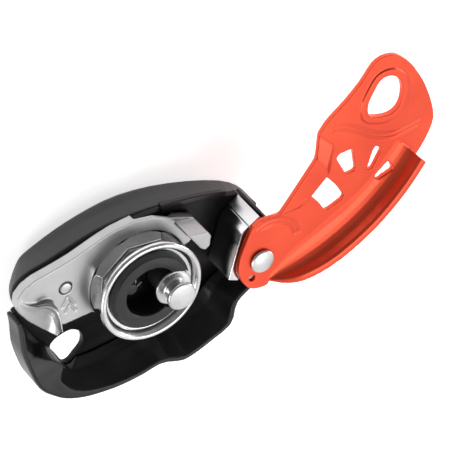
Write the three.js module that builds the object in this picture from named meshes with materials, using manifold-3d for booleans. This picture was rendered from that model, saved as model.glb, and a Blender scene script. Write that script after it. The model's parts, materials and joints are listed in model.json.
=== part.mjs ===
// Belay device with a rope wheel on its cam, drawn open: the side plate is swung away from the wheel.
// Millimetres. +Z runs from the fixed plate to the side plate, +X from the carabiner eye to the
// friction block, +Y to the folded handle. The origin is on the axle pin's axis, at the rear of the
// fixed plate. Pieces of the side plate are drawn closed, then turned open about the pivot rivet.
import * as THREE from 'three';
import { mergeVertices } from 'three/addons/utils/BufferGeometryUtils.js';
import Module from 'manifold-3d';

const wasm = await Module();
wasm.setup();

// ---- driving dimensions ----
const GAP = 0.3; // between pieces that touch or are fastened
const RUN = 0.2; // running clearance of a turning piece

const FIXED_T = 2.5; // fixed plate thickness
const CAM_GAP = 1.0; // fixed plate to cam, room for the thrust washer
const CAM_T = 3.8; // cam plate thickness
const RECESS_DEPTH = 2.5; // round recess in the cam for the wheel
const CHANNEL = 15.6; // clear width of the rope channel, fixed plate to side plate
const SIDE_T = 1.9; // side plate thickness
const BRIDGE_LIFT = 4.1; // height of the raised bridge that the pin head passes under
const LIP_H = 6.8; // height of the side plate's rolled lip
const OPEN_ANGLE = 152; // swing of the side plate from closed to open, degrees

const PIVOT = [27.5, -15.6]; // side plate pivot
const PIVOT_R = 3.2; // rivet shaft radius
const PIVOT_HEAD_R = 4.4;
const WASHER_T = 0.7; // washer between the block and the side plate
const WHEEL_C = [-6.2, 6.5]; // wheel axis
const WHEEL_R = 19.3; // front flange radius
const GROOVE_AP = 15.5; // apothem of the eight-sided groove bottom
const WHEEL_BORE_R = 14.2;
const HUB_WALL = 3.4; // wall of the cam's hollow hub
const AXLE_R = 3.2; // axle pin shaft radius
const AXLE_COLLAR_R = 6.8;
const BOSS_R = 4.8; // boss of the cam round the axle
const NECK_R = 3.5; // neck of the pin that the side plate's window runs over
const PIN_HEAD_R = 5.3;
const PIN_HEAD_T = 1.4;
const LINK = [-25.5, 27.2]; // handle hinge
const LINK_R = 2.2;
const LINK_HEAD_R = 4.0;
const GRIP_DEPTH = 10.6; // handle grip, front to back
const LEVER_T = 1.8; // metal lever in the grip
const WALL_TOP = 16.0; // top of the shell's wall at the belly
const SCREW_R = 1.3;
const SCREW_HEAD = 1.2; // how far a screw's head reaches past its shank
const SCREW_HEAD_T = 0.7;
const REAR_HEAD = 1.8; // how far the rear heads of the axle pin and the rivet reach past their shafts
const REAR_HEAD_T = 0.9;
const POST_R = 2.0; // spring's post
const THRUST_R = 9.0;
const HEX_R = 0.9; // screws' sockets

// ---- derived levels and radii ----
const FLOOR = FIXED_T;
const CAM_BACK = FLOOR + CAM_GAP;
const CAM_FRONT = CAM_BACK + CAM_T;
const RECESS_Z = CAM_FRONT - RECESS_DEPTH;
const SIDE_IN = FLOOR + CHANNEL;
const SIDE_OUT = SIDE_IN + SIDE_T;
const RIM_Z = SIDE_IN - 1.4; // wheel's front rim
const COLLAR_Z = RIM_Z - 2.0; // underside of the axle pin's collar
const COLLAR_TOP = COLLAR_Z + 1.2;
const HEAD_Z = SIDE_OUT + GAP; // underside of the pin's head
const HUB_R = WHEEL_BORE_R - GAP;
const HUB_TOP = COLLAR_Z - 0.7;
const RECESS_R = WHEEL_R - 0.6;
const PIN_RADIUS = Math.hypot(PIVOT[0], PIVOT[1]); // pivot to axle pin
const GRIP_FRONT = -0.4;
const GRIP_BACK = GRIP_FRONT - GRIP_DEPTH;
const FINE = 48; // sides of a large circle
const COARSE = 24; // sides of a small circle

// ---- geometry helpers ----
const rad = (degrees) => (degrees * Math.PI) / 180;

function solid(geometry) {
  const bare = geometry.index ? geometry.toNonIndexed() : geometry.clone();
  for (const name of Object.keys(bare.attributes)) {
    if (name !== 'position') bare.deleteAttribute(name);
  }
  const merged = mergeVertices(bare, 1e-4);
  const corners = Array.from(merged.index.array);
  const faces = [];
  for (let i = 0; i < corners.length; i += 3) {
    const [a, b, c] = corners.slice(i, i + 3);
    if (a !== b && b !== c && c !== a) faces.push([a, b, c]);
  }
  const build = (list) => new wasm.Manifold(new wasm.Mesh({
    numProp: 3,
    vertProperties: Float32Array.from(merged.attributes.position.array),
    triVerts: Uint32Array.from(list.flat()),
  }));
  const made = build(faces);
  return made.volume() > 0 ? made : build(faces.map(([a, b, c]) => [a, c, b]));
}

const joined = (pieces) => pieces.reduce((whole, piece) => whole.add(piece));
const without = (whole, cutters) => cutters.reduce((left, cutter) => left.subtract(cutter), whole);

function prism(points, z0, z1) {
  const shape = new THREE.Shape(points.map(([x, y]) => new THREE.Vector2(x, y)));
  const geometry = new THREE.ExtrudeGeometry(shape, { depth: z1 - z0, bevelEnabled: false });
  return solid(geometry.translate(0, 0, z0));
}

// A turned piece: profile points are [radius, z], listed anticlockwise, closed on itself or on the axis.
function turned(profile, centre = [0, 0], sides = COARSE) {
  const onAxis = profile[0][0] === 0;
  const closed = onAxis ? profile : [...profile, profile[0]];
  const geometry = new THREE.LatheGeometry(closed.map(([r, z]) => new THREE.Vector2(r, z)), sides);
  return solid(geometry.rotateX(Math.PI / 2).translate(centre[0], centre[1], 0));
}

const disc = (centre, r, z0, z1, sides = COARSE) =>
  turned([[0, z0], [r, z0], [r, z1], [0, z1]], centre, sides);

const ring = (centre, r0, r1, z0, z1, sides = COARSE) =>
  turned([[r0, z0], [r1, z0], [r1, z1], [r0, z1]], centre, sides);

// A skin through sections of equal point counts, each listed the same way round, with flat ends.
function loft(sections) {
  const count = sections[0].length;
  const positions = sections.flat(2);
  const index = [];
  for (let s = 0; s + 1 < sections.length; s += 1) {
    for (let i = 0; i < count; i += 1) {
      const a = s * count + i;
      const b = s * count + ((i + 1) % count);
      index.push(a, b, b + count, a, b + count, a + count);
    }
  }
  const addEnd = (section, offset, flipped) => {
    const at = (k) => new THREE.Vector3(...section[k]);
    const origin = at(0);
    const area = new THREE.Vector3();
    for (let k = 1; k + 1 < count; k += 1) {
      area.add(at(k).sub(origin).cross(at(k + 1).sub(origin)));
    }
    const normal = area.normalize();
    const u = at(1).sub(origin).projectOnPlane(normal).normalize();
    const v = new THREE.Vector3().crossVectors(normal, u);
    const flat = section.map((_, k) => at(k).sub(origin)).map((p) => new THREE.Vector2(p.dot(u), p.dot(v)));
    for (const [a, b, c] of THREE.ShapeUtils.triangulateShape(flat, [])) {
      index.push(...(flipped ? [offset + c, offset + b, offset + a] : [offset + a, offset + b, offset + c]));
    }
  };
  addEnd(sections[0], 0, true);
  addEnd(sections[sections.length - 1], (sections.length - 1) * count, false);
  const geometry = new THREE.BufferGeometry();
  geometry.setAttribute('position', new THREE.Float32BufferAttribute(positions, 3));
  geometry.setIndex(index);
  return solid(geometry);
}

// Points along a smooth curve through the given ones.
function spline(points, steps, closed = false) {
  const curve = new THREE.CatmullRomCurve3(
    points.map((p) => new THREE.Vector3(p[0], p[1], p[2] ?? 0)), closed, 'centripetal');
  const count = closed ? steps : steps + 1;
  return Array.from({ length: count }, (_, k) => curve.getPoint(k / steps).toArray());
}

function arc(centre, r, from, to, steps) {
  return Array.from({ length: steps + 1 }, (_, k) => {
    const angle = rad(from + ((to - from) * k) / steps);
    return [centre[0] + r * Math.cos(angle), centre[1] + r * Math.sin(angle)];
  });
}

// Rounds each corner of a closed outline, as far along its edges as the reach allows.
function softened(points, reach) {
  const last = points.length - 1;
  return points.flatMap((p, k) => {
    const ends = [points[k > 0 ? k - 1 : last], points[k < last ? k + 1 : 0]].map((q) => {
      const length = Math.hypot(q[0] - p[0], q[1] - p[1]);
      const share = Math.min(reach / length, 0.48);
      return [p[0] + (q[0] - p[0]) * share, p[1] + (q[1] - p[1]) * share];
    });
    const middle = [0, 1].map((axis) => 0.25 * ends[0][axis] + 0.5 * p[axis] + 0.25 * ends[1][axis]);
    return [ends[0], middle, ends[1]];
  });
}

// A slot of half width w along an arc about the centre, with rounded corners.
const arcSlot = (centre, r, w, from, to, z0, z1) =>
  prism(softened([...arc(centre, r + w, from, to, 6), ...arc(centre, r - w, to, from, 6)], 1.6), z0, z1);

// Moves the points of an open or closed line sideways, to its left, each by its own distance.
function shifted(points, distances, closed = false) {
  const last = points.length - 1;
  const direction = (p, q) => new THREE.Vector2(q[0] - p[0], q[1] - p[1]).normalize();
  return points.map((p, k) => {
    const before = k > 0 || closed ? direction(points[k > 0 ? k - 1 : last], p) : null;
    const after = k < last || closed ? direction(p, points[k < last ? k + 1 : 0]) : null;
    const along = (before ?? after).clone().add(after ?? before).normalize();
    const mitre = 1 / Math.max(along.dot(after ?? before), 0.7);
    const d = (Array.isArray(distances) ? distances[k] : distances) * mitre;
    return [p[0] - along.y * d, p[1] + along.x * d];
  });
}

const turnedAbout = (points, centre, degrees) => points.map(([x, y]) => {
  const c = Math.cos(rad(degrees));
  const s = Math.sin(rad(degrees));
  const dx = x - centre[0];
  const dy = y - centre[1];
  return [centre[0] + c * dx - s * dy, centre[1] + s * dx + c * dy];
});

function meshOf(name, shape, look) {
  const data = shape.getMesh();
  const geometry = new THREE.BufferGeometry();
  geometry.setAttribute('position', new THREE.Float32BufferAttribute(data.vertProperties, 3));
  geometry.setIndex(Array.from(data.triVerts));
  const mesh = new THREE.Mesh(geometry, new THREE.MeshStandardMaterial(look));
  mesh.name = name;
  return mesh;
}

// ---- looks ----
const BLACK = { color: 0x141416, roughness: 0.45, metalness: 0 };
const BLACK_METAL = { color: 0x101012, roughness: 0.4, metalness: 0.6 };
const CHARCOAL = { color: 0x3c3d40, roughness: 0.6, metalness: 0 };
const SILVER = { color: 0xb9babb, roughness: 0.35, metalness: 1 };
const STEEL = { color: 0xd4d5d6, roughness: 0.18, metalness: 1 };
const RED = { color: 0xe0401c, roughness: 0.32, metalness: 0.85 };

// ---- body shell: one wall from the handle's end round the eye and the belly to the block ----
// Stations along the outer edge: x, y, top of the wall, thickness at its top, width at its foot.
const SHELL = [
  [-45.2, 31.6, 8.5, 1.4, 2.2],
  [-47.2, 27.5, 9.0, 1.8, 4.0],
  [-51.3, 20.7, 10.0, 2.0, 7.4],
  [-53.9, 13.7, 11.8, 8.6, 10.2],
  [-55.6, 7.2, 12.4, 10.8, 11.6],
  [-55.6, 3.3, 12.8, 9.0, 11.4],
  [-54.6, 0.1, 13.3, 6.2, 10.6],
  [-52.6, -4.3, 14.1, 4.6, 9.8],
  [-48.6, -8.9, 14.8, 3.4, 9.2],
  [-43.3, -12.9, 15.4, 2.8, 8.8],
  [-35.9, -17.2, WALL_TOP, 2.4, 9.0],
  [-28.7, -20.6, WALL_TOP, 2.2, 9.0],
  [-21.3, -23.4, WALL_TOP, 2.2, 9.0],
  [-15.3, -29.9, WALL_TOP, 2.2, 9.4],
  [-10.0, -31.6, WALL_TOP, 2.2, 10.0],
  [-4.0, -32.6, WALL_TOP, 2.2, 10.0],
  [5.3, -33.3, WALL_TOP, 2.2, 9.0],
  [11.7, -27.9, WALL_TOP, 2.2, 6.0],
  [17.3, -27.2, WALL_TOP, 2.2, 4.6],
  [26.0, -27.3, WALL_TOP, 1.8, 2.4],
  [33.0, -24.4, WALL_TOP, 1.4, 1.6],
  [37.5, -18.8, WALL_TOP, 1.2, 1.4],
  [38.9, -11.0, WALL_TOP, 1.2, 1.4],
  [38.9, -2.6, WALL_TOP, 1.2, 1.4],
];
const SKIRT = 1.3; // wall's skirt over the fixed plate's edge
const SHELL_STEPS = 62;
const SHELL_SCREWS = [[-50.2, 10.5], [-31.2, -14.9], [-2.0, -28.2]];
const SCREW_REACH = 3.5; // screw length in the shell

const shellEdge = SHELL.map(([x, y]) => [x, y]);
const inset = (share) => shifted(shellEdge, SHELL.map(([, , , top, foot]) => top + (foot - top) * share));

function shellWall() {
  const rail = (points, heights) => spline(points.map(([x, y], k) => [x, y, heights[k]]), SHELL_STEPS);
  const tops = SHELL.map((station) => station[2]);
  const level = (z) => SHELL.map(() => z);
  const between = (share) => tops.map((top) => FLOOR + GAP + (top - FLOOR - GAP) * share);
  const rails = [
    rail(shellEdge, level(GAP)),
    rail(shellEdge, tops.map((top) => top - 1.0)),
    rail(shifted(shellEdge, 0.7), tops),
    rail(inset(0), tops.map((top) => top - 0.1)),
    rail(inset(0.25), between(0.62)),
    rail(inset(0.55), between(0.26)),
    rail(inset(1), between(0.04)),
    rail(inset(1), level(FLOOR + GAP)),
    rail(shifted(shellEdge, SKIRT), level(FLOOR + GAP)),
    rail(shifted(shellEdge, SKIRT), level(GAP)),
  ];
  return loft(Array.from({ length: SHELL_STEPS + 1 }, (_, k) => rails.map((points) => points[k])));
}

// ---- carabiner eye of the fixed plate: straight on its outer side, round towards the wheel ----
const EYE_SHAPE = spline([
  [-44.5, -3.4], [-43.0, -4.4], [-39.8, -3.9], [-35.9, -2.9], [-33.7, -0.2], [-33.2, 3.2],
  [-34.6, 6.2], [-37.6, 7.8], [-41.2, 8.4], [-43.8, 7.4], [-44.3, 2.0],
], 36, true);

const eyeCut = () => prism(EYE_SHAPE, -1, WALL_TOP + 1);

function bodyShell() {
  const clearEye = prism(shifted(EYE_SHAPE, -0.2, true), -1, WALL_TOP + 1);
  const holes = SHELL_SCREWS.map((at) => disc(at, SCREW_R + GAP / 2, FLOOR, FLOOR + SCREW_REACH + GAP, 12));
  return without(shellWall(), [clearEye, ...holes]);
}

// ---- fixed plate ----
const PLATE_TOP_EDGE = spline([
  [36.6, -2.2], [28.4, 6.2], [17.0, 16.0], [6.0, 23.0], [-4.0, 27.0], [-12.0, 27.2], [-20.0, 24.3],
  [-27.0, 19.0], [-31.0, 20.3], [-36.0, 24.0], [-41.0, 30.0], [-42.8, 31.0],
], 30);

// The plate's cutters for a shaft whose head is sunk in the plate's rear face.
const stepped = (at, shaft, head, depth) => [
  disc(at, shaft + head + GAP, -1, depth + GAP),
  disc(at, shaft + GAP, depth, FLOOR + 1),
];

function fixedPlate() {
  const rim = spline(shifted(shellEdge, SKIRT + GAP), 46);
  const outline = [...rim, ...PLATE_TOP_EDGE];
  return without(prism(outline, 0, FIXED_T), [
    eyeCut(),
    ...stepped([0, 0], AXLE_R, REAR_HEAD, REAR_HEAD_T),
    ...stepped(PIVOT, PIVOT_R, REAR_HEAD, REAR_HEAD_T),
    ...SHELL_SCREWS.flatMap((at) => stepped(at, SCREW_R, SCREW_HEAD, SCREW_HEAD_T)),
  ]);
}

function shellScrew(at) {
  const tip = FLOOR + SCREW_REACH;
  return turned([
    [0, 0], [SCREW_R + SCREW_HEAD, 0], [SCREW_R + SCREW_HEAD, SCREW_HEAD_T], [SCREW_R, SCREW_HEAD_T + 0.1],
    [SCREW_R, tip], [0, tip],
  ], at, 16).subtract(disc(at, HEX_R, -1, 0.4, 6));
}

// ---- friction block: an aluminium spacer with a bent steel wear plate round its rope side ----
const WEAR_T = 2.4;
const ROPE_FACE = [[14.8, -14.9], [27.9, -3.7]]; // the wear plate's rope face, seen along Z
const BLOCK_TOP = SIDE_IN - WASHER_T - 2 * RUN;
const BLOCK_EDGE_Y = -2.6;

const wearLine = [
  [17.0, -18.2], ROPE_FACE[0], ROPE_FACE[1], [29.6, -2.8], [32.2, BLOCK_EDGE_Y],
];
const wearBack = shifted(wearLine, -WEAR_T);

function wearPlate() {
  return prism([...wearLine, ...wearBack.toReversed()], FLOOR + GAP, BLOCK_TOP);
}

function spacerBlock() {
  const front = shifted(wearLine, -(WEAR_T + GAP));
  const outline = [
    ...front, [32.6, BLOCK_EDGE_Y - WEAR_T - GAP], [32.6, BLOCK_EDGE_Y], [37.2, BLOCK_EDGE_Y],
    [37.2, -9.0], [35.6, -17.0], [31.2, -21.8], [24.6, -24.0], [19.6, -21.6],
  ];
  return prism(outline, FLOOR + GAP, BLOCK_TOP).subtract(disc(PIVOT, PIVOT_R + GAP, 0, SIDE_OUT));
}

function pivotRivet() {
  const rear = PIVOT_R + REAR_HEAD;
  return turned([
    [0, 0], [rear, 0], [rear, REAR_HEAD_T], [PIVOT_R, REAR_HEAD_T], [PIVOT_R, SIDE_OUT + GAP],
    [PIVOT_HEAD_R, SIDE_OUT + GAP], [PIVOT_HEAD_R, SIDE_OUT + 1.2], [PIVOT_HEAD_R - 0.5, SIDE_OUT + 1.5],
    [0, SIDE_OUT + 1.5],
  ], PIVOT, 32);
}

const pivotWasher = () =>
  ring(PIVOT, PIVOT_R + GAP, PIVOT_R + 2.8, BLOCK_TOP + RUN, SIDE_IN - RUN, 32);

// ---- axle pin: cam axle, collar, neck and locking head in one ----
function axlePin() {
  const rear = AXLE_R + REAR_HEAD;
  const headTop = HEAD_Z + PIN_HEAD_T;
  return turned([
    [0, 0], [rear, 0], [rear, REAR_HEAD_T], [AXLE_R, REAR_HEAD_T], [AXLE_R, COLLAR_Z],
    [AXLE_COLLAR_R, COLLAR_Z],
    [AXLE_COLLAR_R, COLLAR_TOP - 0.4], [AXLE_COLLAR_R - 0.4, COLLAR_TOP], [NECK_R + 0.6, COLLAR_TOP],
    [NECK_R, COLLAR_TOP + 0.6], [NECK_R, HEAD_Z], [PIN_HEAD_R, HEAD_Z], [PIN_HEAD_R, headTop - 0.5],
    [PIN_HEAD_R - 0.5, headTop], [0, headTop],
  ], [0, 0], 40);
}

const thrustWasher = () => ring([0, 0], AXLE_R + GAP, THRUST_R, FLOOR + RUN, CAM_BACK - RUN, 32);

// ---- rest clip: a strip on the fixed plate's edge, over the folded handle ----
const CLIP_W = 1.9;

function restClip() {
  const line = shifted(PLATE_TOP_EDGE, -GAP).slice(1, 7);
  return prism([...line, ...shifted(line, -CLIP_W).toReversed()], GAP, FLOOR + 0.6);
}

// ---- cam ----
const NOSE = [[15.5, 13.8], [21.2, 8.9], [21.2, 6.4], [18.5, 3.4], [16.4, 3.4], [15.6, 5.4]];
const CAM_TOP_EDGE = [
  [21.2, 9.0], [15.9, 15.6], [11.6, 22.6], [6.0, 27.5], [-0.7, 30.6], [-6.2, 32.3], [-17.3, 34.8],
  [-23.2, 36.8], [-30.6, 39.6], [-35.2, 40.2], [-39.0, 39.2], [-41.4, 36.6], [-42.3, 32.6],
  [-42.0, 27.8], [-40.6, 23.2], [-38.6, 19.6], [-34.4, 15.0],
];
const THIN_EDGE = 1.5; // thickness of the cam's edge above the wheel, on the nose's side
const THIN_AREA = [[6.4, 40], [6.4, 8], [13.6, 14.6], [30, 14.6], [30, 40]];

// Thumb tab stations: its crest, its outer edge, and the height of its underside.
const TAB = [
  [[-39.0, 37.4, 7.4], [-41.5, 36.9, 7.3], 6.1],
  [[-39.0, 34.6, 7.8], [-42.2, 33.4, 7.4], 6.1],
  [[-36.7, 31.5, 8.8], [-42.1, 30.2, 7.5], 6.1],
  [[-34.8, 30.7, 9.8], [-41.9, 28.0, 7.7], 6.1],
  [[-33.1, 28.8, 10.9], [-41.3, 25.2, 8.1], 6.1],
  [[-32.7, 26.8, 12.0], [-40.7, 22.8, 8.6], 6.1],
  [[-33.8, 24.3, 13.0], [-40.0, 20.6, 9.4], 6.1],
  [[-35.4, 21.8, 13.9], [-39.3, 19.0, 10.8], 7.6],
  [[-36.6, 19.9, 14.3], [-38.7, 18.2, 12.2], 9.8],
];
const BEAD = 0.9; // width of the tab's rounded crest
const SCOOP = 1.0; // depth of the hollow in the tab's face

function thumbTab() {
  const steps = 32;
  const crest = spline(TAB.map(([top]) => top), steps);
  const edge = spline(TAB.map(([, outer]) => outer), steps);
  const foot = spline(TAB.map(([top, , under]) => [top[0], top[1], under]), steps).map((p) => p[2]);
  return loft(crest.map((c, k) => {
    const [x, y] = [c[0] - edge[k][0], c[1] - edge[k][1]];
    const span = Math.hypot(x, y);
    const at = (share, z) => [edge[k][0] + x * share, edge[k][1] + y * share, z];
    const height = (share) => edge[k][2] + (c[2] - edge[k][2]) * share;
    const depth = SCOOP * Math.min(1, (c[2] - edge[k][2]) / 3);
    const back = 1 + BEAD / span;
    return [
      at(0, foot[k]), at(0, edge[k][2]), at(0.35, height(0.35) - 0.6 * depth), at(0.62, height(0.62) - depth),
      at(0.84, height(0.84) - 0.7 * depth), at(1 - 0.3 / span, c[2] - 0.15), at(1 + 0.35 / span, c[2]),
      at(back, c[2] - 0.45), at(back + 0.15 / span, foot[k]),
    ];
  }));
}

function cam() {
  const outline = [
    ...CAM_TOP_EDGE, [-25.3, 10.2], ...arc(WHEEL_C, 16.2, 190, 350, 16), [14.0, 1.8], [18.5, 3.4],
    [21.2, 6.4],
  ];
  const plate = prism(outline, CAM_BACK, CAM_FRONT);
  const thinning = prism(THIN_AREA, CAM_BACK - 1, CAM_FRONT - THIN_EDGE)
    .subtract(disc(WHEEL_C, RECESS_R + 1.2, 0, SIDE_IN, FINE));
  const recess = disc(WHEEL_C, RECESS_R, RECESS_Z, SIDE_IN, FINE);
  const hub = disc(WHEEL_C, HUB_R, RECESS_Z - 0.5, HUB_TOP, FINE);
  const hollow = disc(WHEEL_C, HUB_R - HUB_WALL, RECESS_Z, SIDE_IN, FINE);
  const nose = prism(NOSE, CAM_BACK, RIM_Z - 0.2);
  const boss = disc([0, 0], BOSS_R, CAM_BACK, COLLAR_Z - RUN, COARSE);
  const body = joined([without(plate, [thinning, recess]), hub.subtract(hollow), thumbTab(), nose, boss]);
  return without(body, [
    disc([0, 0], AXLE_R + RUN, 0, SIDE_IN, COARSE),
    disc(LINK, LINK_R + GAP, 0, SIDE_IN, COARSE),
  ]);
}

// ---- cam return spring, on a post in the hollow hub ----
const SPRING_C = [-10.4, 9.9];
const LINER_T = 0.7; // wall and floor of the liner
const SPRING_Z = RECESS_Z + GAP + LINER_T + 0.2;
const SPRING_R = 3.2;
const WIRE = 0.8;
const SPRING_TURNS = 4;

function camSpring() {
  const perTurn = 14;
  const points = [];
  for (let k = 0; k <= SPRING_TURNS * perTurn; k += 1) {
    const angle = rad(-60) + (2 * Math.PI * k) / perTurn;
    points.push(new THREE.Vector3(
      SPRING_C[0] + SPRING_R * Math.cos(angle), SPRING_C[1] + SPRING_R * Math.sin(angle),
      SPRING_Z + WIRE / 2 + (1.15 * WIRE * k) / perTurn));
  }
  const end = points[points.length - 1];
  points.push(new THREE.Vector3(end.x + 2.4, end.y + 0.2, end.z + 0.1));
  const path = new THREE.CatmullRomCurve3(points);
  const section = new THREE.Shape(Array.from({ length: 6 }, (_, k) =>
    new THREE.Vector2((WIRE / 2) * Math.cos((k * Math.PI) / 3), (WIRE / 2) * Math.sin((k * Math.PI) / 3))));
  return solid(new THREE.ExtrudeGeometry(section, {
    steps: points.length - 1, extrudePath: path, bevelEnabled: false,
  }));
}

// ---- hub cap: its ring keeps the wheel on, its cup lines the hub and holds the spring's post ----
function hubCap() {
  const outer = HUB_R - HUB_WALL - GAP;
  const inner = outer - LINER_T;
  const foot = RECESS_Z + GAP;
  const cup = turned([
    [0, foot], [outer, foot], [outer, HUB_TOP + GAP], [HUB_R + 1.1, HUB_TOP + GAP],
    [HUB_R + 1.1, HUB_TOP + 1.1], [HUB_R, HUB_TOP + 1.5], [HUB_R - 0.3, RIM_Z - 0.3], [inner + 0.3, RIM_Z - 0.3], [inner, RIM_Z - 0.6],
    [inner, foot + LINER_T], [0, foot + LINER_T],
  ], WHEEL_C, FINE);
  const post = disc(SPRING_C, POST_R, foot, SPRING_Z + 6.4, 16);
  return without(cup.add(post), [
    disc([0, 0], AXLE_COLLAR_R + 0.5, HUB_TOP - 0.5, SIDE_IN, FINE),
    disc([0, 0], BOSS_R + GAP, 0, SIDE_IN, COARSE),
  ]);
}

// ---- rope wheel: a round front flange on an eight-sided core with its rear flange ----
const CORE_TOP = RIM_Z - 5.4;
const WHEEL_BACK = RECESS_Z + 0.35;
const OCTAGON_TURN = 7.3; // degrees

function wheelFrontFlange() {
  const seat = HUB_TOP + 0.05;
  return turned([
    [WHEEL_BORE_R, CORE_TOP + GAP], [GROOVE_AP + 0.2, CORE_TOP + GAP], [WHEEL_R, RIM_Z - 1.8],
    [WHEEL_R, RIM_Z - 0.7], [WHEEL_R - 0.5, RIM_Z - 0.1], [WHEEL_R - 1.0, RIM_Z], [WHEEL_R - 1.6, RIM_Z],
    [WHEEL_R - 2.1, RIM_Z - 0.4], [WHEEL_R - 2.9, seat + 0.3], [WHEEL_R - 3.1, seat], [WHEEL_BORE_R, seat],
  ], WHEEL_C, 64);
}

function octagon(apothem, z) {
  const r = apothem / Math.cos(Math.PI / 8);
  return Array.from({ length: 8 }, (_, k) => {
    const angle = rad(90 + OCTAGON_TURN + 22.5 - 45 * k);
    return [WHEEL_C[0] + r * Math.cos(angle), WHEEL_C[1] + r * Math.sin(angle), z];
  });
}

function wheelCore() {
  const flare = loft([
    octagon(GROOVE_AP + 0.2, CORE_TOP), octagon(GROOVE_AP, CORE_TOP - 1.6),
    octagon(GROOVE_AP + 2.9, WHEEL_BACK + 0.9), octagon(GROOVE_AP + 2.9, WHEEL_BACK),
  ]);
  return flare.intersect(disc(WHEEL_C, RECESS_R - 0.4, 0, SIDE_IN, 64))
    .subtract(disc(WHEEL_C, WHEEL_BORE_R, 0, SIDE_IN, 64));
}

// ---- handle: grip over a metal lever, folded behind the fixed plate ----
// Stations: outer front edge, outer back edge, inner edge.
const GRIP = [
  [[-42.6, 25.0], [-41.0, 22.6], [-35.5, 21.6]],
  [[-42.3, 30.2], [-40.8, 26.6], [-33.5, 20.6]],
  [[-40.6, 35.0], [-37.6, 31.2], [-31.0, 20.0]],
  [[-36.4, 37.8], [-33.6, 34.4], [-27.5, 19.6]],
  [[-30.6, 37.3], [-29.6, 36.6], [-23.5, 19.4]],
  [[-25.5, 35.4], [-25.2, 36.4], [-19.0, 19.2]],
  [[-16.0, 32.6], [-16.0, 34.9], [-11.5, 18.0]],
  [[-6.2, 29.6], [-6.0, 32.0], [-3.5, 16.2]],
  [[5.1, 24.0], [5.6, 27.0], [5.0, 13.4]],
  [[16.4, 16.2], [17.0, 18.8], [12.8, 6.4]],
  [[27.8, 5.2], [28.4, 7.0], [20.4, -2.2]],
  [[36.6, -5.8], [37.2, -5.4], [28.6, -11.2]],
  [[39.4, -12.4], [39.6, -13.0], [32.4, -16.4]],
  [[39.9, -15.8], [39.6, -19.2], [35.2, -20.2]],
];
const LEVER_FRONT = GRIP_FRONT - 0.4;
const LEVER_BACK = LEVER_FRONT - LEVER_T;
const LEVER_INSET = 2.2; // grip's wall round the lever
const LINK_HEAD_T = 1.3;

const leverOutline = (margin) => {
  const outer = GRIP.slice(1, -1).map(([front]) => front);
  const inner = GRIP.slice(1, -1).map(([, , inside]) => inside);
  return spline([...shifted(outer, -margin), ...shifted(inner.toReversed(), -margin)], 44, true);
};

const GRIP_SCREWS = [[-13.5, 24.6], [14.9, 11.6]];

function handleGrip() {
  const [front, back, inner] = [0, 1, 2].map((k) => spline(GRIP.map((station) => station[k]), 30));
  const mix = (a, b, share, z) => [a[0] + (b[0] - a[0]) * share, a[1] + (b[1] - a[1]) * share, z];
  const body = loft(front.map((_, k) => [
    mix(inner[k], inner[k], 0, GRIP_FRONT),
    mix(front[k], front[k], 0, GRIP_FRONT),
    mix(front[k], back[k], 0.5, (GRIP_FRONT + GRIP_BACK) / 2),
    mix(front[k], back[k], 0.95, GRIP_BACK + 2.2),
    mix(back[k], inner[k], 0.14, GRIP_BACK),
    mix(back[k], inner[k], 0.8, GRIP_BACK + 0.6),
    mix(back[k], inner[k], 0.97, GRIP_BACK + 3.0),
  ]));
  return without(body, [
    prism(leverOutline(LEVER_INSET - GAP), LEVER_BACK - GAP, 2),
    disc(LINK, LINK_HEAD_R + GAP, LEVER_BACK - LINK_HEAD_T - 3 * GAP, 2),
    ...GRIP_SCREWS.map((at) => disc(at, SCREW_R + GAP / 2, LEVER_BACK - SCREW_REACH - GAP, 2, 12)),
  ]);
}

function handleLever() {
  return without(prism(leverOutline(LEVER_INSET), LEVER_BACK, LEVER_FRONT), [
    disc(LINK, LINK_R + RUN, -5, 2),
    ...GRIP_SCREWS.map((at) => disc(at, SCREW_R + GAP, -5, 2, 12)),
    ...GRIP_SCREWS.map((at) => disc(at, SCREW_R + SCREW_HEAD + GAP, LEVER_FRONT - 0.9, 2, 16)),
  ]);
}

function gripScrew(at) {
  const tip = LEVER_BACK - SCREW_REACH;
  return turned([
    [0, tip], [SCREW_R, tip], [SCREW_R, LEVER_FRONT - 0.7], [SCREW_R + SCREW_HEAD, LEVER_FRONT - 0.6],
    [SCREW_R + SCREW_HEAD, LEVER_FRONT - 0.1], [0, LEVER_FRONT - 0.1],
  ], at, 16).subtract(disc(at, HEX_R, LEVER_FRONT - 0.5, 2, 6));
}

const handleWasher = () => ring(LINK, LINK_R + GAP, LINK_R + 1.6, LEVER_FRONT + GAP, CAM_BACK - GAP);

function linkPin() {
  const neck = LEVER_BACK - GAP;
  const rear = neck - LINK_HEAD_T;
  return turned([
    [0, rear], [LINK_HEAD_R, rear], [LINK_HEAD_R, neck], [LINK_R, neck], [LINK_R, CAM_FRONT],
    [LINK_R - 0.3, CAM_FRONT + 0.3], [0, CAM_FRONT + 0.3],
  ], LINK, COARSE);
}

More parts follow.
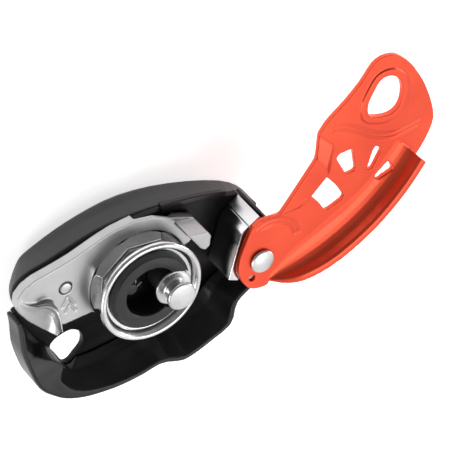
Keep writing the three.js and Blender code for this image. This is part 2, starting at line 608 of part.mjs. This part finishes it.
// ---- moving side plate, drawn closed ----
const SIDE_OUTLINE = softened([
  [37.8, -17.8], [34.4, -22.4], [27.8, -24.7], [22.1, -25.2], [17.3, -25.8], [14.2, -24.9], [12.1, -22.3],
  [8.4, -20.8], [-0.4, -19.2], [-9.8, -17.6], [-14.5, -16.8], [-19.7, -16.9], [-26.0, -16.4],
  [-35.2, -12.3], [-42.9, -9.9], [-50.2, -9.1], [-53.4, -6.7], [-55.1, -2.7], [-55.0, 0.7], [-53.1, 6.8],
  [-47.8, 15.5], [-41.7, 22.5], [-35.7, 27.7], [-30.1, 28.8], [-21.4, 28.4], [-20.2, 27.4],
  [-20.4, 23.4], [-21.0, 21.4], [-23.2, 16.4], [-20.3, 15.7], [-8.7, 13.3], [1.5, 8.5], [11.0, 2.2],
  [20.3, -4.4], [25.7, -6.5],
  [32.3, -8.8], [34.5, -8.4], [36.3, -7.2], [38.3, -10.4], [39.2, -14.1],
], 3);
const SIDE_EYE = spline([
  [-31.9, -0.6], [-35.5, -3.2], [-40.8, -3.6], [-45.6, -2.9], [-47.6, 0.6], [-46.7, 4.7], [-42.8, 8.4],
  [-37.5, 10.0], [-34.3, 8.6], [-32.3, 4.8],
], 32, true);
const EYE_RIM_W = 2.6;
const EYE_RIM_H = 0.6;
const BRIDGE_BASE = [[13.3, -23.7], [-21.7, -17.0], [-18.7, -9.0], [-8.9, -5.2], [5.7, -10.1]];
const BRIDGE_TOP = [[8.4, -20.8], [-14.5, -16.8], [-11.7, -10.8], [-9.4, -9.0], [1.9, -12.5]];
const WINDOWS = [
  [[-14.1, -5.0], [-15.8, -4.7], [-18.5, -0.7], [-18.1, 0.3], [-11.0, 5.5], [-8.8, 2.7]],
  [[-21.3, 9.1], [-20.1, 12.3], [-12.6, 12.2], [-11.6, 10.1], [-19.6, 8.6]],
  [[-16.8, 17.4], [-14.1, 20.1], [-8.9, 16.6], [-10.0, 14.6]],
];
// Where the trough starts, where its wall stands, and the wall's height, from the pivot to the open end.
const LIP = [
  [[33.0, -9.3], [34.3, -8.3], 0.06],
  [[27.5, -7.2], [31.6, -4.9], 0.47],
  [[23.0, -5.5], [28.5, -1.1], 0.76],
  [[13.5, 0.5], [20.1, 7.2], 0.97],
  [[1.5, 8.5], [5.7, 16.4], 1],
  [[-8.7, 13.3], [-7.1, 21.2], 1],
  [[-18.5, 15.3], [-16.3, 23.2], 1],
  [[-24.5, 16.6], [-22.3, 24.0], 1],
];
const SMALL_HOLE = [34.9, -15.6]; // beside the pivot
const SMALL_HOLE_R = 1.3;
const FLANGE_W = 3.6; // flange along the top of the lip
// Trough and wall: shares of the trough's width and of the wall's height, and the lean of the normal.
const TROUGH = [
  [-0.1, 0, 0], [0, 0.001, 0], [0.25, 0.025, 0.1], [0.48, 0.09, 0.24], [0.68, 0.19, 0.42],
  [0.84, 0.33, 0.66], [0.94, 0.5, 0.88], [0.99, 0.7, 0.98],
];
// Roll and flange: shares of the flange's width and of the wall's height, and the lean of the normal.
const ROLL = [[0.06, 0.86, 0.9], [0.2, 0.96, 0.65], [0.45, 1, 0.3], [1, 0.97, 0]];

const alongPin = (open) => open + OPEN_ANGLE;
const SLOT_END = alongPin(-10.5); // end of the window for the pin's neck
const BRIDGE_END = alongPin(52); // where the pin leaves the bridge

function bridge(lowered) {
  const base = SIDE_OUT - lowered;
  const level = (points, z) => points.map(([x, y]) => [x, y, z]);
  return loft([
    level(BRIDGE_BASE, base - 1), level(BRIDGE_BASE, base), level(BRIDGE_TOP, base + BRIDGE_LIFT),
  ]);
}

function lip() {
  const steps = 24;
  const starts = spline(LIP.map(([start, , h]) => [...start, h]), steps);
  const walls = spline(LIP.map(([, wall]) => wall), steps);
  return loft(starts.map(([x, y, share], k) => {
    const width = Math.hypot(walls[k][0] - x, walls[k][1] - y);
    const out = [(walls[k][0] - x) / width, (walls[k][1] - y) / width];
    const h = Math.max(share, 0.05) * LIP_H;
    const flange = 0.6 + (FLANGE_W - 0.6) * Math.min(1, share * 1.2);
    const face = [
      ...TROUGH.map(([u, v, lean]) => [u * width, v * h, lean * share]),
      ...ROLL.map(([u, v, lean]) => [width + u * flange, v * h, lean * share]),
    ];
    const under = face.map(([u, v, lean]) => [u + SIDE_T * lean, v - SIDE_T * Math.sqrt(1 - lean * lean)]);
    const place = ([u, v]) => [x + out[0] * u, y + out[1] * u, SIDE_OUT + v];
    return [...face, ...under.toReversed()].map(place);
  }));
}

function sidePlate() {
  const flat = prism(SIDE_OUTLINE, SIDE_IN, SIDE_OUT);
  const raised = bridge(0).intersect(prism(SIDE_OUTLINE, SIDE_IN, SIDE_OUT + BRIDGE_LIFT + 1));
  const rim = prism(shifted(SIDE_EYE, EYE_RIM_W, true), SIDE_IN + 0.5, SIDE_OUT + EYE_RIM_H);
  const bridgeIn = SIDE_IN + BRIDGE_LIFT;
  return without(joined([flat, raised, rim, lip()]), [
    bridge(SIDE_T),
    prism(SIDE_EYE, 0, 40),
    disc(PIVOT, PIVOT_R + RUN, 0, 40, 32),
    disc(SMALL_HOLE, SMALL_HOLE_R, 0, 40, 12),
    arcSlot(PIVOT, PIN_RADIUS, NECK_R + 2 * GAP, SLOT_END, BRIDGE_END, 0, bridgeIn),
    arcSlot(PIVOT, PIN_RADIUS, PIN_HEAD_R + 2 * GAP, SLOT_END, BRIDGE_END, SIDE_OUT, bridgeIn),
    ...WINDOWS.map((window) => prism(softened(window, 0.7), 0, 40)),
  ]);
}

// ---- assembly ----
const device = new THREE.Group();
device.name = 'belay_device';
device.add(
  meshOf('fixed_side_plate', fixedPlate(), BLACK_METAL),
  meshOf('body_shell', bodyShell(), BLACK),
  meshOf('spacer_block', spacerBlock(), SILVER),
  meshOf('wear_plate', wearPlate(), STEEL),
  meshOf('pivot_rivet', pivotRivet(), SILVER),
  meshOf('pivot_washer', pivotWasher(), BLACK),
  meshOf('axle_pin', axlePin(), STEEL),
  meshOf('thrust_washer', thrustWasher(), BLACK),
  meshOf('handle_rest_clip', restClip(), BLACK),
  ...SHELL_SCREWS.map((at, k) => meshOf(`shell_screw_${k + 1}`, shellScrew(at), BLACK_METAL)),
);

// A group that turns about the Z axis through a point; its pieces are drawn in the device's frame.
function turningGroup(name, centre, degrees, members) {
  const group = new THREE.Group();
  group.name = name;
  group.rotation.z = rad(degrees);
  const [x, y] = turnedAbout([[-centre[0], -centre[1]]], [0, 0], degrees)[0];
  group.position.set(centre[0] + x, centre[1] + y, 0);
  group.add(...members);
  return group;
}

const wheel = turningGroup('wheel', WHEEL_C, 0, [
  meshOf('wheel_front_flange', wheelFrontFlange(), STEEL),
  meshOf('wheel_core', wheelCore(), STEEL),
]);
const handle = turningGroup('handle', LINK, 0, [
  meshOf('handle_lever', handleLever(), SILVER),
  meshOf('handle_grip', handleGrip(), CHARCOAL),
  meshOf('handle_washer', handleWasher(), BLACK),
  ...GRIP_SCREWS.map((at, k) => meshOf(`handle_screw_${k + 1}`, gripScrew(at), BLACK_METAL)),
]);
const camLever = turningGroup('cam_lever', [0, 0], 0, [
  meshOf('cam', cam(), SILVER),
  meshOf('hub_cap', hubCap(), CHARCOAL),
  meshOf('cam_spring', camSpring(), STEEL),
  meshOf('handle_link_pin', linkPin(), SILVER),
  wheel, handle,
]);
device.add(camLever, turningGroup('side', PIVOT, -OPEN_ANGLE, [meshOf('side_plate', sidePlate(), RED)]));

export default device;
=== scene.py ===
"""Looks for the belay device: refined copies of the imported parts, procedural materials, light
and camera."""

import json
import math

import bmesh
import bpy
import numpy as np
from mathutils import Matrix, Vector


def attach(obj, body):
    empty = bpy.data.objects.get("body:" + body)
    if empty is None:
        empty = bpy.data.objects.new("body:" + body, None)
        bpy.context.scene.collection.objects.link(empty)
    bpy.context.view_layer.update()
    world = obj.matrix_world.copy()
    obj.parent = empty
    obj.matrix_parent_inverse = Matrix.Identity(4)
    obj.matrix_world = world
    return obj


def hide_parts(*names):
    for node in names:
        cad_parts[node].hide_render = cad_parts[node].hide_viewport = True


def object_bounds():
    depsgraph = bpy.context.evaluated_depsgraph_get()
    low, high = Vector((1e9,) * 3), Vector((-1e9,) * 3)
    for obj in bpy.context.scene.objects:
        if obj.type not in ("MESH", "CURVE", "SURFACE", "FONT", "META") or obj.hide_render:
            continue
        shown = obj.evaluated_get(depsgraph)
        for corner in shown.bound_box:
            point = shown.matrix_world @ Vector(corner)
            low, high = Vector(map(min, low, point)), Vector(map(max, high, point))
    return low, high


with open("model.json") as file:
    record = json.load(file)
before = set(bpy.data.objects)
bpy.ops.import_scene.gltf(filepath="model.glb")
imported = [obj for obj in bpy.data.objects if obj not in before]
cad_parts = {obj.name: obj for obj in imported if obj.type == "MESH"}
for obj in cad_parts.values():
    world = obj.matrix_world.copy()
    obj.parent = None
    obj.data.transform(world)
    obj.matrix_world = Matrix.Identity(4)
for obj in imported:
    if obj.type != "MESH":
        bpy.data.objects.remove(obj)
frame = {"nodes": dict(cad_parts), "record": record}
CAD_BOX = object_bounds()

MM = 0.001
NODES = frame["nodes"]
RECORD = frame["record"]
BODY_OF = {node: body for body, nodes in RECORD["behaviour"]["bodies"].items() for node in nodes}
JOINT_AT = {joint["name"]: Vector(joint["pos_m"]) for joint in RECORD["behaviour"]["joints"]}
AXLE = JOINT_AT["cam_pivot"]
WHEEL = JOINT_AT["wheel_spin"]
PIVOT = JOINT_AT["side_plate_swing"]
LINK = JOINT_AT["handle_fold"]


# ---- node helpers ----
# The mix node's colour sockets, by number: its number and vector sockets have the same names.
MIX_A, MIX_B, MIX_RESULT = 6, 7, 2


def new_material(name):
    material = bpy.data.materials.new(name)
    material.use_nodes = True
    tree = material.node_tree
    return material, tree, tree.nodes["Principled BSDF"]


def add(tree, kind, **settings):
    node = tree.nodes.new(kind)
    for key, value in settings.items():
        setattr(node, key, value)
    return node


def math_node(tree, operation, a, b=None):
    """The result of one maths operation on sockets or plain numbers."""
    node = add(tree, "ShaderNodeMath", operation=operation)
    for socket, value in zip(node.inputs, (a, b)):
        if isinstance(value, bpy.types.NodeSocket):
            tree.links.new(value, socket)
        elif value is not None:
            socket.default_value = value
    return node.outputs[0]


def object_coordinates(tree, scale=(1, 1, 1)):
    place = add(tree, "ShaderNodeTexCoord")
    mapping = add(tree, "ShaderNodeMapping")
    mapping.inputs["Scale"].default_value = scale
    tree.links.new(place.outputs["Object"], mapping.inputs["Vector"])
    return mapping.outputs["Vector"]


def noise(tree, vector, scale, detail=3.0, roughness=0.5):
    node = add(tree, "ShaderNodeTexNoise")
    node.inputs["Scale"].default_value = scale
    node.inputs["Detail"].default_value = detail
    node.inputs["Roughness"].default_value = roughness
    tree.links.new(vector, node.inputs["Vector"])
    return node.outputs["Fac"]


def remap(tree, value, low, high, start=0.3, end=0.7):
    """The value, stretched so that start to end becomes low to high."""
    node = add(tree, "ShaderNodeMapRange")
    tree.links.new(value, node.inputs["Value"])
    node.inputs["From Min"].default_value = start
    node.inputs["From Max"].default_value = end
    node.inputs["To Min"].default_value = low
    node.inputs["To Max"].default_value = high
    return node.outputs["Result"]


def bump(tree, shader, height, strength, distance):
    node = add(tree, "ShaderNodeBump")
    node.inputs["Strength"].default_value = strength
    node.inputs["Distance"].default_value = distance
    tree.links.new(height, node.inputs["Height"])
    tree.links.new(node.outputs["Normal"], shader.inputs["Normal"])


def mixed_colour(tree, factor, dark, light):
    node = add(tree, "ShaderNodeMix", data_type="RGBA")
    tree.links.new(factor, node.inputs["Factor"])
    node.inputs[MIX_A].default_value = (*dark, 1)
    node.inputs[MIX_B].default_value = (*light, 1)
    return node.outputs[MIX_RESULT]


def vary(tree, shader, tone, wear, dark, light, smoothest, roughest):
    """Colour follows one pattern, from dark to light, and roughness follows another."""
    colour = mixed_colour(tree, remap(tree, tone, 0, 1), dark, light)
    tree.links.new(colour, shader.inputs["Base Color"])
    tree.links.new(remap(tree, wear, smoothest, roughest), shader.inputs["Roughness"])


def distance_from_axis(tree, centre):
    """Distance from the Z axis through a point, in metres."""
    place = add(tree, "ShaderNodeTexCoord")
    split = add(tree, "ShaderNodeSeparateXYZ")
    tree.links.new(place.outputs["Object"], split.inputs[0])
    dx = math_node(tree, "SUBTRACT", split.outputs[0], centre[0])
    dy = math_node(tree, "SUBTRACT", split.outputs[1], centre[1])
    squares = math_node(
        tree, "ADD", math_node(tree, "MULTIPLY", dx, dx), math_node(tree, "MULTIPLY", dy, dy))
    return math_node(tree, "SQRT", squares)


# ---- materials ----
def moulded_plastic(name, dark, light, rough, grain=0.25, shine=0.5):
    """Moulded plastic: faint mottling, shinier where dark, and a fine spark-eroded grain."""
    material, tree, shader = new_material(name)
    coordinates = object_coordinates(tree)
    cloud = noise(tree, coordinates, scale=60, detail=4)
    fine = noise(tree, coordinates, scale=2600, detail=2, roughness=0.6)
    vary(tree, shader, cloud, cloud, dark, light, rough - 0.05, rough + 0.06)
    shader.inputs["Specular IOR Level"].default_value = shine
    bump(tree, shader, fine, strength=grain, distance=0.06 * MM)
    return material


def forged_metal(name, dark, light, rough, grain=0.3, metallic=1.0):
    """Tumbled forging: a soft orange-peel surface with fine pits and cloudy roughness."""
    material, tree, shader = new_material(name)
    coordinates = object_coordinates(tree)
    cloud = noise(tree, coordinates, scale=90, detail=5, roughness=0.55)
    pits = noise(tree, coordinates, scale=1800, detail=3, roughness=0.6)
    shader.inputs["Metallic"].default_value = metallic
    vary(tree, shader, cloud, cloud, dark, light, rough - 0.06, rough + 0.08)
    bump(tree, shader, pits, strength=grain, distance=0.05 * MM)
    return material


def brushed_metal(name, dark, light, rough, stretch=(1, 1, 18), scale=900):
    """Metal with fine straight grinding lines across the stretched axis."""
    material, tree, shader = new_material(name)
    lines = noise(tree, object_coordinates(tree, stretch), scale, detail=3, roughness=0.7)
    cloud = noise(tree, object_coordinates(tree), scale=70, detail=3)
    shader.inputs["Metallic"].default_value = 1.0
    vary(tree, shader, lines, cloud, dark, light, rough - 0.04, rough + 0.06)
    bump(tree, shader, lines, strength=0.25, distance=0.04 * MM)
    return material


def turned_metal(name, centre, dark, light, rough, pitch=0.00035):
    """Lathe-turned metal: fine rings about the part's axis and a light haze of handling marks."""
    material, tree, shader = new_material(name)
    radius = distance_from_axis(tree, centre)
    wave = math_node(tree, "SINE", math_node(tree, "MULTIPLY", radius, 2 * math.pi / pitch))
    haze = noise(tree, object_coordinates(tree), scale=160, detail=4, roughness=0.6)
    rings = math_node(tree, "MULTIPLY", wave, remap(tree, haze, 0.2, 1))
    shader.inputs["Metallic"].default_value = 1.0
    vary(tree, shader, haze, haze, dark, light, rough - 0.03, rough + 0.07)
    bump(tree, shader, rings, strength=0.12, distance=0.02 * MM)
    return material


def anodised_metal(name, dark, light, rough):
    """Satin anodised aluminium: dyed film over a bead-blasted surface."""
    material, tree, shader = new_material(name)
    coordinates = object_coordinates(tree)
    cloud = noise(tree, coordinates, scale=45, detail=4)
    blast = noise(tree, coordinates, scale=3200, detail=2, roughness=0.6)
    shader.inputs["Metallic"].default_value = 0.72
    shader.inputs["Specular IOR Level"].default_value = 0.6
    shader.inputs["Coat Weight"].default_value = 0.12
    shader.inputs["Coat Roughness"].default_value = 0.25
    vary(tree, shader, cloud, cloud, dark, light, rough - 0.04, rough + 0.05)
    bump(tree, shader, blast, strength=0.2, distance=0.04 * MM)
    return material


BLACK_SHELL = moulded_plastic(
    "black_shell", (0.004, 0.004, 0.0045), (0.007, 0.007, 0.0075), 0.36, 0.2, 0.4)
CHARCOAL = moulded_plastic(
    "charcoal_plastic", (0.046, 0.047, 0.05), (0.06, 0.061, 0.065), 0.48, 0.4, 0.5)
HUB_GREY = moulded_plastic(
    "hub_grey", (0.008, 0.008, 0.009), (0.014, 0.014, 0.015), 0.38, 0.2, 0.4)
RUBBER = moulded_plastic("black_washer", (0.015, 0.015, 0.015), (0.022, 0.022, 0.022), 0.6, 0.3)
BLACK_METAL = forged_metal(
    "black_plate", (0.005, 0.005, 0.0055), (0.009, 0.009, 0.0095), 0.45, 0.2, 0.7)
CAM_METAL = forged_metal("forged_cam", (0.4, 0.4, 0.405), (0.5, 0.5, 0.505), 0.36)
BLOCK_METAL = brushed_metal("block_metal", (0.62, 0.62, 0.63), (0.8, 0.8, 0.81), 0.3)
LEVER_METAL = brushed_metal("lever_metal", (0.4, 0.4, 0.41), (0.55, 0.55, 0.56), 0.35, (18, 1, 1))
WHEEL_METAL = turned_metal("wheel_metal", WHEEL, (0.62, 0.62, 0.625), (0.76, 0.76, 0.765), 0.2)
PIN_METAL = turned_metal("pin_metal", AXLE, (0.52, 0.52, 0.525), (0.66, 0.66, 0.665), 0.26, 0.0005)
RIVET_METAL = turned_metal(
    "rivet_metal", PIVOT, (0.6, 0.6, 0.6), (0.74, 0.74, 0.74), 0.34, 0.0006)
LINK_METAL = turned_metal("link_metal", LINK, (0.5, 0.5, 0.5), (0.62, 0.62, 0.62), 0.3, 0.0004)
SPRING_METAL = forged_metal("spring_metal", (0.35, 0.35, 0.36), (0.5, 0.5, 0.51), 0.3, 0.1)
MIRROR_METAL = brushed_metal(
    "wear_metal", (0.7, 0.7, 0.71), (0.85, 0.85, 0.86), 0.12, (1, 1, 30), 700)
RED = anodised_metal("red_anodised", (0.78, 0.066, 0.024), (0.88, 0.092, 0.034), 0.33)


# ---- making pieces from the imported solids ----
SAME_POINT = 2e-6  # metres: vertices this close are one
FLAT_ANGLE = math.radians(0.8)  # faces that meet this flat are one
SHARP_MARGIN = 6  # degrees: edges this much past the crease angle are shaded sharp


def own_object(node, name):
    """A new object with its own copy of the node's mesh, without split vertices or flat seams."""
    mesh = NODES[node].data.copy()
    mesh.name = name
    piece = bpy.data.objects.new(name, mesh)
    bpy.context.scene.collection.objects.link(piece)
    mesh.materials.clear()
    work = bmesh.new()
    work.from_mesh(mesh)
    bmesh.ops.remove_doubles(work, verts=work.verts, dist=SAME_POINT)
    bmesh.ops.dissolve_limit(
        work, angle_limit=FLAT_ANGLE, verts=work.verts, edges=work.edges,
        use_dissolve_boundaries=False)
    work.to_mesh(mesh)
    work.free()
    return piece


def apply_modifiers(piece):
    """Bakes the modifiers into the mesh."""
    graph = bpy.context.evaluated_depsgraph_get()
    mesh = bpy.data.meshes.new_from_object(piece.evaluated_get(graph))
    mesh.name = piece.name
    piece.modifiers.clear()
    piece.data = mesh


def settle(piece, node, material):
    """The piece stands for its CAD node: same body, its own material."""
    piece.data.materials.clear()
    piece.data.materials.append(material)
    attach(piece, BODY_OF[node])
    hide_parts(node)
    return piece


def machined(node, name, material, edge=0.25, segments=2, crease=32):
    """A machined or pressed piece: flat faces, smooth-shaded curves and rounded sharp edges."""
    piece = own_object(node, name)
    piece.data.shade_smooth()
    rounding = piece.modifiers.new("edge", "BEVEL")
    rounding.width = edge * MM
    rounding.segments = segments
    rounding.limit_method = "ANGLE"
    rounding.angle_limit = math.radians(crease)
    rounding.use_clamp_overlap = True
    rounding.harden_normals = True
    apply_modifiers(piece)
    piece.data.set_sharp_from_angle(angle=math.radians(crease + SHARP_MARGIN))
    return settle(piece, node, material)


def moulded(node, name, material, voxel=0.32, rounds=6, shape=None):
    """A moulded or forged piece: every edge melts into the next face."""
    piece = own_object(node, name)
    remesh = piece.modifiers.new("skin", "REMESH")
    remesh.mode = "VOXEL"
    remesh.voxel_size = voxel * MM
    remesh.use_smooth_shade = True
    melt = piece.modifiers.new("melt", "SMOOTH")
    melt.factor = 0.5
    melt.iterations = rounds
    apply_modifiers(piece)
    if shape:
        shape(piece.data)
    piece.data.shade_smooth()
    return settle(piece, node, material)


# ---- engraved lines, drawn in millimetres in the rest pose ----
SIDE_FACE = 20.0  # height of the open side plate's face
CAM_FACE = 7.3  # height of the cam's face
# Plain flowing lines across the side plate, and plain chevrons on the cam.
PLATE_LINES = [
    [(74.5, 4.6), (77.6, 1.6), (80.6, -4.3), (83.4, -11.1), (87.5, -16.4), (92.0, -18.9),
     (97.0, -21.0)],
    [(75.8, 6.2), (79.4, 2.4), (82.4, -3.9), (85.3, -10.4), (89.0, -15.2), (93.0, -17.5),
     (98.6, -19.6)],
    [(33.4, -3.0), (38.4, -4.6), (42.6, -8.6), (44.4, -13.6), (43.4, -18.4)],
    [(34.6, -4.8), (38.2, -6.4), (41.2, -9.6), (42.6, -13.8), (41.8, -17.6)],
]
CHEVRONS = [
    [(-31.0, 21.8), (-27.2, 23.6), (-27.2, 18.8)],
    [(-31.4, 19.0), (-28.6, 20.2), (-28.4, 16.4)],
]
UPWARD = 0.7  # least upward lean of a vertex normal on the face
NEAR_FACE = 0.35  # farthest that a vertex of the face lies from its height
LINE_WIDTH = 0.9
LINE_DEPTH = 0.24


def smooth_line(points, steps=10):
    """Points along a Catmull-Rom curve through the given ones."""
    ends = [points[0], *points, points[-1]]
    line = []
    for k in range(1, len(ends) - 2):
        a, b, c, d = (Vector(ends[k + i]) for i in (-1, 0, 1, 2))
        for step in range(steps):
            t = step / steps
            line.append(0.5 * (2 * b + (c - a) * t + (2 * a - 5 * b + 4 * c - d) * t ** 2
                               + (3 * b - a - 3 * c + d) * t ** 3))
    return [*line, Vector(points[-1])]


PLATE_CURVES = [smooth_line(points) for points in PLATE_LINES]


def read_vectors(mesh, what):
    values = np.empty(len(mesh.vertices) * 3)
    mesh.vertices.foreach_get(what, values)
    return values.reshape(-1, 3)


def engraved(lines, face):
    """A shaping step that presses round-bottomed lines into the face at the given height."""
    def shape(mesh):
        places = read_vectors(mesh, "co")
        upward = read_vectors(mesh, "normal")[:, 2] > UPWARD
        on_face = upward & (np.abs(places[:, 2] / MM - face) < NEAR_FACE)
        flat = places[on_face, :2] / MM
        gap = np.full(len(flat), np.inf)
        for line in lines:
            for start, end in zip(line, line[1:]):
                start, along = np.array(start), np.array(end) - np.array(start)
                share = np.clip((flat - start) @ along / (along @ along), 0, 1)
                miss = flat - start - share[:, None] * along
                gap = np.minimum(gap, np.linalg.norm(miss, axis=1))
        places[on_face, 2] -= LINE_DEPTH * MM * np.exp(-((gap / (LINE_WIDTH / 2)) ** 2))
        mesh.vertices.foreach_set("co", places.ravel())
        mesh.update()
    return shape


# ---- pieces ----
moulded("body_shell", "shell_wall", BLACK_SHELL)
machined("fixed_side_plate", "rear_plate", BLACK_METAL, 0.3)
machined("spacer_block", "friction_block", BLOCK_METAL, 0.35)
machined("wear_plate", "wear_strip", MIRROR_METAL, 0.3, 3)
machined("pivot_rivet", "pivot_rivet_head", RIVET_METAL, 0.3)
machined("pivot_washer", "pivot_spacer", RUBBER)
machined("axle_pin", "axle_pin_turned", PIN_METAL, 0.3, 3)
machined("thrust_washer", "thrust_ring", RUBBER, 0.1)
machined("handle_rest_clip", "rest_strip", BLACK_SHELL, 0.4, 3)
for number in (1, 2, 3):
    machined(f"shell_screw_{number}", f"shell_screw_head_{number}", BLACK_METAL, 0.15)

moulded("cam", "cam_forging", CAM_METAL, 0.25, 5, engraved(CHEVRONS, CAM_FACE))
machined("hub_cap", "hub_ring", HUB_GREY, 0.25, 3)
machined("cam_spring", "return_spring", SPRING_METAL, 0.05)
machined("handle_link_pin", "link_pin_turned", LINK_METAL, 0.2)
machined("wheel_front_flange", "wheel_flange", WHEEL_METAL, 0.3, 3)
machined("wheel_core", "wheel_groove", WHEEL_METAL, 0.2, 2, 20)

moulded("handle_grip", "grip_cover", CHARCOAL, 0.34, 6)
machined("handle_lever", "lever_core", LEVER_METAL, 0.2)
machined("handle_washer", "handle_spacer", RUBBER, 0.15)
for number in (1, 2):
    machined(f"handle_screw_{number}", f"grip_screw_head_{number}", BLACK_METAL, 0.15)

moulded("side_plate", "swing_plate", RED, 0.25, 5, engraved(PLATE_CURVES, SIDE_FACE))


# ---- floor, light and camera ----
# Metres, except where a line says otherwise.
FLOOR_DROP = 0.002  # how far the floor lies below the part
FLOOR_Z = CAD_BOX[0][2] - FLOOR_DROP
FLOOR_HALF = 3.0
FLOOR_GLOW = 0.65  # the floor is partly self-lit, so that it comes out near white
STUDIO_AIM = (0.02, 0, 0.01)
SKY_SIDE, SKY_HEIGHT = -0.9, 0.45  # the sky dims towards +Y and brightens upward
SKY_DIM, SKY_BRIGHT = 0.2, 1.0
SKY_FROM, SKY_TO = 0.1, 0.95  # where the sky starts to brighten, and where it is brightest
# Name, place, size and power of each softbox.
SOFTBOXES = [
    ("key", (0.1, -0.5, 1.2), (0.6, 0.6), 3.0),
    ("fill", (-0.9, 0.15, 0.5), (0.5, 0.3), 4),
    ("rim", (0.9, -0.5, 0.35), (0.3, 0.5), 3),
]
CAMERA_RIGHT = (0.719, -0.476, 0.507)
CAMERA_BACK = (0, 0.729, 0.685)
CAMERA_TARGET = (26.9, 5.7, 16.7)  # millimetres
CAMERA_DISTANCE = 1.2
CAMERA_SEES = 0.150  # width of the view at the target
SENSOR = 36  # millimetres


def pale_floor():
    mesh = bpy.data.meshes.new("studio_floor")
    signs = ((-1, -1), (1, -1), (1, 1), (-1, 1))
    corners = [(x * FLOOR_HALF, y * FLOOR_HALF, FLOOR_Z) for x, y in signs]
    mesh.from_pydata(corners, [], [(0, 1, 2, 3)])
    floor = bpy.data.objects.new("studio_floor", mesh)
    bpy.context.scene.collection.objects.link(floor)
    material, tree, shader = new_material("studio_white")
    shader.inputs["Base Color"].default_value = (0.9, 0.9, 0.9, 1)
    shader.inputs["Emission Color"].default_value = (1, 1, 1, 1)
    shader.inputs["Emission Strength"].default_value = FLOOR_GLOW
    shader.inputs["Roughness"].default_value = 0.9
    shader.inputs["Specular IOR Level"].default_value = 0.1
    mesh.materials.append(material)


def softbox(name, place, size, power):
    light = bpy.data.lights.new(name, "AREA")
    light.shape = "RECTANGLE"
    light.size, light.size_y = size
    light.energy = power
    lamp = bpy.data.objects.new(name, light)
    lamp.location = place
    lamp.rotation_euler = (Vector(STUDIO_AIM) - Vector(place)).to_track_quat("-Z", "Y").to_euler()
    bpy.context.scene.collection.objects.link(lamp)


def sky():
    """A soft studio: brightest high on the shell's side, dim behind the handle and low down."""
    world = bpy.data.worlds.new("studio")
    world.use_nodes = True
    tree = world.node_tree
    place = add(tree, "ShaderNodeTexCoord")
    split = add(tree, "ShaderNodeSeparateXYZ")
    tree.links.new(place.outputs["Generated"], split.inputs[0])
    side = math_node(tree, "MULTIPLY", split.outputs[1], SKY_SIDE)
    height = math_node(tree, "ADD", side, math_node(tree, "MULTIPLY", split.outputs[2], SKY_HEIGHT))
    level = remap(tree, height, SKY_DIM, SKY_BRIGHT, SKY_FROM, SKY_TO)
    background = tree.nodes["Background"]
    background.inputs["Color"].default_value = (1, 1, 1, 1)
    tree.links.new(level, background.inputs["Strength"])
    bpy.context.scene.world = world


def camera():
    right = Vector(CAMERA_RIGHT).normalized()
    back = Vector(CAMERA_BACK).normalized()
    up = back.cross(right).normalized()
    right = up.cross(back).normalized()
    target = Vector(CAMERA_TARGET) * MM
    data = bpy.data.cameras.new("camera")
    data.sensor_width = SENSOR
    data.lens = SENSOR * CAMERA_DISTANCE / CAMERA_SEES
    data.clip_end = 20
    eye = bpy.data.objects.new("camera", data)
    turn = Matrix((right, up, back)).transposed().to_4x4()
    eye.matrix_world = Matrix.Translation(target + back * CAMERA_DISTANCE) @ turn
    bpy.context.scene.collection.objects.link(eye)
    bpy.context.scene.camera = eye


pale_floor()
sky()
for box in SOFTBOXES:
    softbox(*box)
camera()
bpy.context.scene.view_settings.view_transform = "Standard"
